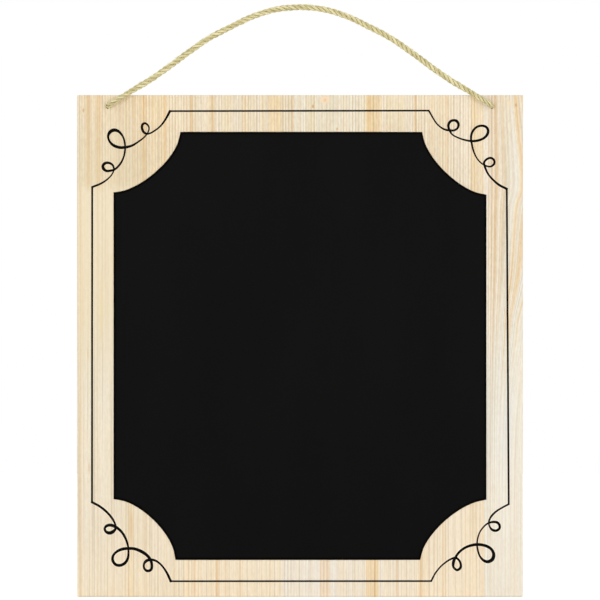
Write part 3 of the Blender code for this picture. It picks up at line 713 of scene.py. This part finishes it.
def rope_finish(look):
    """Straw coloured plant fibre: streaks along the yarns, and painted shade darkening the hollows between
    the strands.
    """
    material, tree, shader = new_finish("rope", 0.85, 0.2)
    along = stored(tree, "fibre", "Vector")
    depth = stored(tree, "depth")
    fine = clouds(tree, along, (300.0, 5200.0, 5200.0), 3.0, 0.6)
    broad = clouds(tree, along, (120.0, 1300.0, 1300.0), 2.0, 0.55)
    yarn = stored(tree, "yarn")
    mottled = clouds(tree, along, (150.0, 1.0, 1.0), 1.0)
    pale = figure(tree, "MULTIPLY_ADD", mottled, 1.2, figure(tree, "SUBTRACT", yarn, 0.6))
    colour = tint(tree, spread(tree, broad, 0.3, 0.7), look.dark_straw, look.straw)
    colour = tint(tree, spread(tree, pale, 0.2, 0.9, 0.0, 0.9), colour, look.light_straw)
    colour = tint(tree, spread(tree, fine, 0.46, 0.70, 0.0, 0.7), colour, look.light_straw)
    colour = tint(tree, spread(tree, fine, 0.44, 0.28, 0.0, 0.6), colour, look.dark_straw)
    # Painted shade: the nearer a point of a strand lies to the rope's axis, the darker, so the hollows
    # between the strands look shaded
    colour = tint(tree, spread(tree, depth, 0.82, 0.48), colour, look.groove_shade)
    fill(tree, shader, {"Base Color": colour, "Roughness": spread(tree, fine, 0.3, 0.7, 0.95, 0.75)})
    add_bump(tree, shader, figure(tree, "MULTIPLY_ADD", broad, 0.8, fine), ROPE_BUMP)
    return material


class CHALKBOARD_OT_make_staves(bpy.types.Operator):
    """Close the glue lines between the five pine staves and give each its own grain"""

    bl_idname = "chalkboard.make_staves"
    bl_label = "Make Staves"

    def execute(self, context):
        look = context.scene.chalkboard_pine
        boxes = [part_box(name) for name in STAVES]
        joints = [(before[1].x + after[0].x) / 2 for before, after in zip(boxes, boxes[1:])]
        walls = [boxes[0][0].x] + joints + [boxes[-1][1].x]
        hole_radius = HOLE_ROPE_SHARE * context.scene.chalkboard_rope.diameter / 2
        for number, name in enumerate(STAVES, start=1):
            shape = merged_copy(name)
            for side, wall in zip(boxes[number - 1], walls[number - 1:number + 1]):
                face = [vert for vert in shape.verts if abs(vert.co.x - side.x) < MERGE_DISTANCE]
                bmesh.ops.translate(shape, vec=(wall - side.x, 0, 0), verts=face)
            for vert in shape.verts:
                aside = Vector((vert.co.x - math.copysign(HOLE_X, vert.co.x), 0, vert.co.z - HOLE_Z))
                if aside.length < HOLE_REACH:
                    snug = aside * (hole_radius / aside.length)
                    bmesh.ops.translate(shape, vec=snug - aside, verts=[vert])
            inner = [edge for edge in shape.edges if edge.is_manifold]
            flat = [edge for edge in inner if edge.calc_face_angle(0) < FLAT_ANGLE]
            bmesh.ops.dissolve_edges(shape, edges=flat, use_verts=False)
            mesh = finished_mesh(f"pine_{name}", shape, SHARP_ANGLE)
            piece = show_piece(f"pine_{name}", mesh, pine_finish(look, number))
            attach(piece, "board")
            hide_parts(name)
        return {"FINISHED"}


class CHALKBOARD_OT_make_writing_panel(bpy.types.Operator):
    """Paint the writing panel, with painted shade in a deeper black band along its edge"""

    bl_idname = "chalkboard.make_writing_panel"
    bl_label = "Make Writing Panel"

    def execute(self, context):
        look = context.scene.chalkboard_chalk
        shape = merged_copy("chalk_panel")
        bmesh.ops.dissolve_limit(
            shape, angle_limit=PANEL_FLAT_ANGLE, use_dissolve_boundaries=False,
            verts=shape.verts, edges=shape.edges, delimit=set(),
        )
        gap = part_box("chalk_panel")[0].x - PANEL_EDGE_X
        pushes = []
        for vert in shape.verts:
            walls = [side.normal for side in vert.link_faces if abs(side.normal.y) < 0.5]
            outward = sum(walls, Vector()).normalized()
            pushes.append((vert, outward * gap / outward.dot(walls[0])))
        for vert, push in pushes:
            bmesh.ops.translate(shape, vec=push, verts=[vert])
        face = min(shape.faces, key=lambda side: side.calc_center_median().y + side.normal.y)
        # Mark the face's outer band, next to the recess wall, for painted shade
        rim = shape.verts.layers.float.new("rim")
        for vert in shape.verts:
            vert[rim] = 1.0
        for width in (look.edge_shade_width, look.edge_shade_width / 3):
            bmesh.ops.inset_region(shape, faces=[face], thickness=width, use_even_offset=True)
        for vert in face.verts:
            vert[rim] = 0.0
        mesh = finished_mesh("painted_panel", shape)
        piece = show_piece("painted_panel", mesh, paint_finish(look))
        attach(piece, "board")
        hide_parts("chalk_panel")
        return {"FINISHED"}


class CHALKBOARD_OT_print_border(bpy.types.Operator):
    """Lay the printed border flat on the wood"""

    bl_idname = "chalkboard.print_border"
    bl_label = "Print Border"

    def execute(self, context):
        look = context.scene.chalkboard_chalk
        low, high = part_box("border_print")
        shape = merged_copy("border_print")
        middle = (low.y + high.y) / 2
        top = [vert for vert in shape.verts if vert.co.y < middle]
        under = [vert for vert in shape.verts if vert.co.y >= middle]
        bmesh.ops.translate(shape, vec=(0, FRONT_Y - look.ink_stand - low.y, 0), verts=top)
        bmesh.ops.translate(shape, vec=(0, FRONT_Y + look.ink_stand - high.y, 0), verts=under)
        mesh = finished_mesh("printed_border", shape)
        piece = show_piece("printed_border", mesh, ink_finish(look))
        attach(piece, "board")
        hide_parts("border_print")
        return {"FINISHED"}


def between(first, second, start, end, t):
    """The point at one time between two that are passed at two others."""
    return first * (end - t) / (end - start) + second * (t - start) / (end - start)


def smooth_route(points, steps):
    """Points on a smooth curve through the given points, which doesn't loop where they are close."""
    points = [Vector(point) for point in points]
    padded = [2 * points[0] - points[1]] + points + [2 * points[-1] - points[-2]]
    route = []
    for first, second, third, fourth in zip(padded, padded[1:], padded[2:], padded[3:]):
        t1 = math.sqrt((second - first).length)
        t2 = t1 + math.sqrt((third - second).length)
        t3 = t2 + math.sqrt((fourth - third).length)
        for step in range(steps):
            t = t1 + (t2 - t1) * step / steps
            a1 = between(first, second, 0, t1, t)
            a2 = between(second, third, t1, t2, t)
            a3 = between(third, fourth, t2, t3, t)
            b1 = between(a1, a2, 0, t2, t)
            b2 = between(a2, a3, t1, t3, t)
            route.append(between(b1, b2, t1, t2, t))
    route.append(points[-1])
    return route


def eased(share):
    """A share from 0 to 1 that starts and ends gently."""
    return share * share * (3 - 2 * share)


def route_length(route):
    """Length along a list of points."""
    return sum((after - before).length for before, after in zip(route, route[1:]))


def even_route(route, spacing):
    """The same route with its points at an even spacing close to the one asked for."""
    count = max(2, round(route_length(route) / spacing))
    step = route_length(route) / count
    even = [route[0]]
    travelled = 0
    for before, after in zip(route, route[1:]):
        stretch = (after - before).length
        while len(even) < count and travelled + stretch >= step * len(even):
            even.append(before.lerp(after, (step * len(even) - travelled) / stretch))
        travelled += stretch
    even.append(route[-1])
    return even


def eased_route(route):
    """The same route with its corners eased, first and last point kept."""
    for _ in range(ROUTE_PASSES):
        inner = [(before + 2 * here + after) / 4 for before, here, after in zip(route, route[1:], route[2:])]
        route = [route[0]] + inner + [route[-1]]
    return route


def knotted_end():
    """The left end of the rope about the middle of its hole's back mouth, from there to the tip."""
    turn = Matrix.Rotation(-KNOT_TURN, 3, "Y")
    turns = []
    for step in range(KNOT_STEPS + 1):
        t = KNOT_START + (KNOT_END - KNOT_START) * step / KNOT_STEPS
        across = -KNOT_SCALE * (math.sin(t) + KNOT_LOBE_SHARE * math.sin(2 * t))
        up = KNOT_SCALE * (math.cos(t) - KNOT_LOBE_SHARE * math.cos(2 * t))
        wave = math.sin(3 * t)
        lift = -KNOT_LIFT * wave * (3 - wave * wave) / 2
        turns.append(turn @ Vector((across, KNOT_LEVEL + lift, up)))
    heading = turns[1] - turns[0]
    heading.y = 0
    entry = KNOT_BEND * heading.normalized()
    shift = entry - Vector((turns[0].x, 0, turns[0].z))
    turns = [place + shift for place in turns]
    bend = [Vector((0, 0, 0))]
    for step in range(1, KNOT_BEND_STEPS):
        angle = math.pi / 2 * step / KNOT_BEND_STEPS
        place = entry * (1 - math.cos(angle))
        place.y = turns[0].y * math.sin(angle)
        bend.append(place)
    tail = smooth_route(turns[-2:] + [turns[-1] + Vector(place) for place in KNOT_TAIL], TAIL_STEPS)
    return bend + turns + tail[TAIL_STEPS + 1:]


def arch_half():
    """The left half of the arch about its axis, from the hole's mouth to the crown, with its lean."""
    whole = [(-x, z) for x, z in ARCH_POINTS] + [(x, z) for x, z in ARCH_POINTS[::-1]]
    leaning = []
    for x, z in whole:
        share = min(1, max(0, (z - ARCH_FREE) / (ARCH_RISE - ARCH_FREE)))
        leaning.append((x, ARCH_LEAN * eased(share), z))
    route = smooth_route(leaning, ARCH_STEPS)
    return route[:len(route) // 2 + 1]


def rope_centre_line():
    """The whole rope: tail, knot and hole on the left, the arch, and the same on the right."""
    arch = arch_half()
    heading = (arch[3] - arch[0]).normalized()
    turn_start = FRONT_Y + ELBOW_DEPTH
    elbow = []
    for step in range(ELBOW_STEPS + 1):
        angle = math.pi / 2 * step / ELBOW_STEPS
        place = heading * ELBOW_RADIUS * (1 - math.cos(angle))
        out = turn_start - ELBOW_RADIUS * math.sin(angle)
        elbow.append(Vector((place.x - HOLE_X, out, HOLE_Z + place.z)))
    stand = turn_start - ELBOW_RADIUS - HINGE_Y
    rising = []
    travelled = 0
    for before, after in zip(arch, arch[1:]):
        travelled += (after - before).length
        if travelled < ELBOW_RADIUS * ELBOW_CLEAR_SHARE:
            continue
        left = max(0, 1 - (travelled - ELBOW_RADIUS) / ELBOW_EASE)
        rising.append(after + Vector((0, HINGE_Y + stand * eased(left), HOLE_Z)))
    end = [place + Vector((-HOLE_X, 0, HOLE_Z)) for place in knotted_end()]
    inside = [Vector((-HOLE_X, turn_start * step / HOLE_STEPS, HOLE_Z)) for step in range(1, HOLE_STEPS)]
    half = end[::-1] + inside + elbow + rising
    other = [Vector((-place.x, place.y, place.z)) for place in half[:-1]]
    return half + other[::-1]


def steady_frames(route):
    """Two directions across the route at every point, which turn no more than the route does."""
    befores = [route[0]] + route[:-1]
    afters = route[1:] + [route[-1]]
    headings = [(after - before).normalized() for before, after in zip(befores, afters)]
    across = headings[0].orthogonal().normalized()
    frames = []
    for before, heading in zip([headings[0]] + headings[:-1], headings):
        across = before.rotation_difference(heading) @ across
        across = (across - heading * across.dot(heading)).normalized()
        frames.append((across, heading.cross(across)))
    return frames


def curve_mesh(curve):
    """The mesh of a curve, made by the curve's own tools."""
    thing = new_object(curve.name, curve)
    bpy.context.view_layer.update()
    mesh = bpy.data.meshes.new_from_object(thing.evaluated_get(bpy.context.evaluated_depsgraph_get()))
    bpy.data.objects.remove(thing)
    return mesh


def yarn_profile(radius):
    """A closed outline with the five yarns of one strand."""
    curve = bpy.data.curves.new("yarns", "CURVE")
    curve.dimensions = "2D"
    spline = curve.splines.new("POLY")
    spline.points.add(PROFILE_POINTS - 1)
    for index, point in enumerate(spline.points):
        angle = math.tau * index / PROFILE_POINTS
        reach = radius * (1 - YARN_DIP_SHARE * (1 - math.cos(YARNS * angle)))
        point.co = (reach * math.cos(angle), reach * math.sin(angle), 0, 1)
    spline.use_cyclic_u = True
    return new_object("yarns", curve)


def rope_shares(route):
    """How thick the rope is at every point: it fills its holes and is pressed thinner in the knots."""
    shares = []
    for index, place in enumerate(route):
        aside = math.hypot(abs(place.x) - HOLE_X, place.z - HOLE_Z)
        if place.y > 0:
            shares.append(KNOT_ROPE_SHARE)
        elif aside < INSIDE_HOLE and place.y > FRONT_Y:
            shares.append(HOLE_ROPE_SHARE)
        else:
            uneven = FREE_ROPE_SHARE + UNEVEN_SHARE * noise.noise((index * UNEVEN_PITCH, 0.0, 0.0))
            grown = min(1, max(0, aside - THIN_START) / THIN_LENGTH)
            shares.append(uneven * (THIN_SHARE + (1 - THIN_SHARE) * grown))
    for _ in range(THICKNESS_PASSES):
        shares = [
            (before + here + after) / 3
            for before, here, after in zip(shares[:1] + shares, shares, shares[1:] + shares[-1:])
        ]
    return shares


def add_rope_values(mesh, fibres, strand_shade_depths, tones):
    """Give a mesh the values that the rope's finish reads, one for each of its points."""
    for name, kind, field, values in (
        ("fibre", "FLOAT_VECTOR", "vector", fibres), ("depth", "FLOAT", "value", strand_shade_depths),
        ("yarn", "FLOAT", "value", tones),
    ):
        mesh.attributes.new(name, kind, "POINT").data.foreach_set(field, values)


def strand_mesh(look, route, frames, shares, phase, profile):
    """One strand laid round the rope's centre line, with the values that its finish reads."""
    curve = bpy.data.curves.new("strand", "CURVE")
    curve.dimensions = "3D"
    curve.bevel_mode = "OBJECT"
    curve.bevel_object = profile
    curve.use_fill_caps = True
    curve.twist_mode = "MINIMUM"
    spline = curve.splines.new("POLY")
    spline.points.add(len(route) - 1)
    step = route_length(route) / (len(route) - 1)
    for index, (point, place, (across, up), share) in enumerate(zip(spline.points, route, frames, shares)):
        angle = phase + math.tau * index * step / look.lay
        offset = look.diameter * STRAND_OFFSET_SHARE * share
        spot = place + offset * (math.cos(angle) * across + math.sin(angle) * up)
        point.co = (*spot, 1)
        point.radius = share
        point.tilt = -math.tau * index * step / look.yarn_lay
    spline.use_smooth = True
    mesh = curve_mesh(curve)
    fibres = []
    strand_shade_depths = []
    tones = []
    rings = [len(route) - 1, 0] + list(range(len(route)))
    first_yarn = round(phase * 2)
    for index, vert in enumerate(mesh.vertices):
        ring = rings[index // PROFILE_POINTS]
        turn = index % PROFILE_POINTS / PROFILE_POINTS
        angle = math.tau * turn
        radius = look.diameter * STRAND_RADIUS_SHARE
        fibres += [ring * step + phase, radius * math.cos(angle), radius * math.sin(angle)]
        # How near the point lies to the rope's axis, which the finish turns into painted shade in the
        # hollows between the strands
        strand_shade_depths.append((vert.co - route[ring]).length / (look.diameter / 2 * shares[ring]))
        tones.append(YARN_TONES[(round(turn * YARNS) + first_yarn) % YARNS])
    add_rope_values(mesh, fibres, strand_shade_depths, tones)
    return mesh


def hair_mesh(look, route, frames):
    """Loose fibres that stand off the rope, each a thin bent hair."""
    random.seed(HAIR_SEED)
    curve = bpy.data.curves.new("hairs", "CURVE")
    curve.dimensions = "3D"
    curve.bevel_depth = look.diameter * HAIR_WIDTH_SHARE
    curve.bevel_resolution = 0
    curve.use_fill_caps = True
    radius = look.diameter / 2
    for _ in range(look.hairs):
        index = random.randrange(4, len(route) - 5)
        across, up = frames[index]
        heading = across.cross(up) * random.choice((-1, 1))
        angle = random.uniform(0, math.tau)
        outward = math.cos(angle) * across + math.sin(angle) * up
        aside = heading.cross(outward)
        reach = radius * random.uniform(*HAIR_REACH_SHARES)
        lift = radius * random.uniform(*HAIR_LIFT_SHARES)
        curl = random.uniform(*HAIR_CURL_SHARES)
        start = route[index] + outward * radius * HAIR_ROOT_SHARE
        spline = curve.splines.new("POLY")
        spline.points.add(len(HAIR_PLACES) - 1)
        for point, share in zip(spline.points, HAIR_PLACES):
            spot = start + heading * reach * 2 * share + outward * lift * math.sin(share * 2.2) * 1.4
            spot += aside * curl * reach * share * share
            point.co = (*spot, 1)
            point.radius = 1.1 - share * 0.7
    mesh = curve_mesh(curve)
    fibres = [part for vert in mesh.vertices for part in (vert.co.x, vert.co.z * 0.1, vert.co.y * 0.1)]
    count = len(mesh.vertices)
    add_rope_values(mesh, fibres, [HAIR_DEPTH] * count, [HAIR_TONE] * count)
    return mesh


class CHALKBOARD_OT_lay_rope(bpy.types.Operator):
    """Lay the twisted rope: through both holes, arched above the board and knotted behind it"""

    bl_idname = "chalkboard.lay_rope"
    bl_label = "Lay Rope"

    def execute(self, context):
        look = context.scene.chalkboard_rope
        route = eased_route(even_route(rope_centre_line(), look.ring_spacing))
        frames = steady_frames(route)
        shares = rope_shares(route)
        profile = yarn_profile(look.diameter * STRAND_RADIUS_SHARE)
        phases = [math.tau * number / look.strands for number in range(look.strands)]
        meshes = [strand_mesh(look, route, frames, shares, phase, profile) for phase in phases]
        meshes.append(hair_mesh(look, route, frames))
        bpy.data.objects.remove(profile)
        finish = rope_finish(look)
        pieces = [show_piece("rope", mesh, finish) for mesh in meshes]
        with context.temp_override(active_object=pieces[0], selected_editable_objects=pieces):
            bpy.ops.object.join()
        rope = pieces[0]
        shape = bmesh.new()
        shape.from_mesh(rope.data)
        bmesh.ops.remove_doubles(shape, verts=shape.verts, dist=STRAND_MERGE_DISTANCE)
        bmesh.ops.recalc_face_normals(shape, faces=shape.faces)
        shape.to_mesh(rope.data)
        shape.free()
        rope.data.shade_smooth()
        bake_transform(rope)
        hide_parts("rope_loop", "rope_end_left", "rope_end_right")
        return {"FINISHED"}


def soft_lamp(name, place, size, power):
    """A square soft lamp turned towards the board."""
    lamp = bpy.data.lights.new(name, "AREA")
    lamp.size = size
    lamp.energy = power
    thing = new_object(name, lamp)
    thing.location = place
    thing.rotation_euler = (Vector(LAMP_AIM) - Vector(place)).to_track_quat("-Z", "Y").to_euler()


def seen_rays(tree):
    """1 on rays that see the surface, straight, in gloss or through glass, and 0 on its light."""
    rays = add_node(tree, "ShaderNodeLightPath").outputs
    seen = figure(tree, "MAXIMUM", rays["Is Camera Ray"], rays["Is Glossy Ray"])
    return figure(tree, "MAXIMUM", seen, rays["Is Transmission Ray"])


def floor_finish():
    """A pale floor that shows as white and lights the object as pale grey."""
    material, tree, shader = new_finish("floor", 0.9, 0.1)
    shader.inputs["Base Color"].default_value = FLOOR_TONE
    strength = figure(tree, "MULTIPLY", seen_rays(tree), FLOOR_GLOW)
    glow = add_node(tree, "ShaderNodeEmission", {"Strength": strength})
    parts = {0: shader.outputs["BSDF"], 1: glow.outputs["Emission"]}
    both = add_node(tree, "ShaderNodeAddShader", parts)
    fill(tree, tree.nodes["Material Output"], {"Surface": both.outputs["Shader"]})
    return material


class CHALKBOARD_OT_set_stage(bpy.types.Operator):
    """Set up the camera, a pale floor, even daylight and soft lamps"""

    bl_idname = "chalkboard.set_stage"
    bl_label = "Set Stage"

    def execute(self, context):
        look = context.scene.chalkboard_stage
        scene = context.scene
        lens = bpy.data.cameras.new("camera")
        lens.lens = LENS
        lens.sensor_width = SENSOR_WIDTH
        lens.clip_end = VIEW_END
        camera = new_object("camera", lens)
        camera.location = (0, FRONT_Y - look.camera_distance, look.camera_height)
        camera.rotation_euler = (math.pi / 2, 0, 0)
        scene.camera = camera

        shape = bmesh.new()
        bmesh.ops.create_grid(shape, x_segments=1, y_segments=1, size=FLOOR_HALF)
        bmesh.ops.translate(shape, vec=(0, 0, BOARD_LOW.z - FLOOR_DROP), verts=shape.verts)
        floor = show_piece("floor", finished_mesh("floor", shape), floor_finish())

        scene.world = bpy.data.worlds.new("daylight")
        scene.world.use_nodes = True
        tree = scene.world.node_tree
        glow = spread(tree, seen_rays(tree), 0.0, 1.0, look.daylight, 1.0, smooth=False)
        fill(tree, tree.nodes["Background"], {"Color": WHITE, "Strength": glow})
        for name, place, size in LAMPS:
            soft_lamp(name, place, size, look.lamp_power)
        scene.view_settings.view_transform = "Standard"
        return {"FINISHED"}


class CHALKBOARD_PT_tools(bpy.types.Panel):
    """The chalkboard's pieces and their looks"""

    bl_label = "Chalkboard"
    bl_idname = "CHALKBOARD_PT_tools"
    bl_space_type = "VIEW_3D"
    bl_region_type = "UI"
    bl_category = "Chalkboard"

    def draw(self, context):
        scene = context.scene
        sections = (
            (scene.chalkboard_pine, (CHALKBOARD_OT_make_staves,)),
            (scene.chalkboard_chalk, (CHALKBOARD_OT_make_writing_panel, CHALKBOARD_OT_print_border)),
            (scene.chalkboard_rope, (CHALKBOARD_OT_lay_rope,)),
            (scene.chalkboard_stage, (CHALKBOARD_OT_set_stage,)),
        )
        for look, makers in sections:
            section = self.layout.box()
            for name in look.__annotations__:
                section.prop(look, name)
            for maker in makers:
                section.operator(maker.bl_idname)


LOOKS = (
    ("chalkboard_pine", PineLook), ("chalkboard_chalk", ChalkLook),
    ("chalkboard_rope", RopeLook), ("chalkboard_stage", StageLook),
)
CLASSES = (
    PineLook, ChalkLook, RopeLook, StageLook, CHALKBOARD_OT_make_staves, CHALKBOARD_OT_make_writing_panel,
    CHALKBOARD_OT_print_border, CHALKBOARD_OT_lay_rope, CHALKBOARD_OT_set_stage, CHALKBOARD_PT_tools,
)


def register():
    """Add the chalkboard's classes and their settings."""
    for entry in CLASSES:
        bpy.utils.register_class(entry)
    for name, look in LOOKS:
        setattr(bpy.types.Scene, name, PointerProperty(type=look))


def unregister():
    """Take them away again."""
    for name, _ in LOOKS:
        delattr(bpy.types.Scene, name)
    for entry in reversed(CLASSES):
        bpy.utils.unregister_class(entry)


def main():
    """Build every piece."""
    register()
    bpy.ops.chalkboard.make_staves()
    bpy.ops.chalkboard.make_writing_panel()
    bpy.ops.chalkboard.print_border()
    bpy.ops.chalkboard.lay_rope()
    bpy.ops.chalkboard.set_stage()


if __name__ == "__main__":
    main()
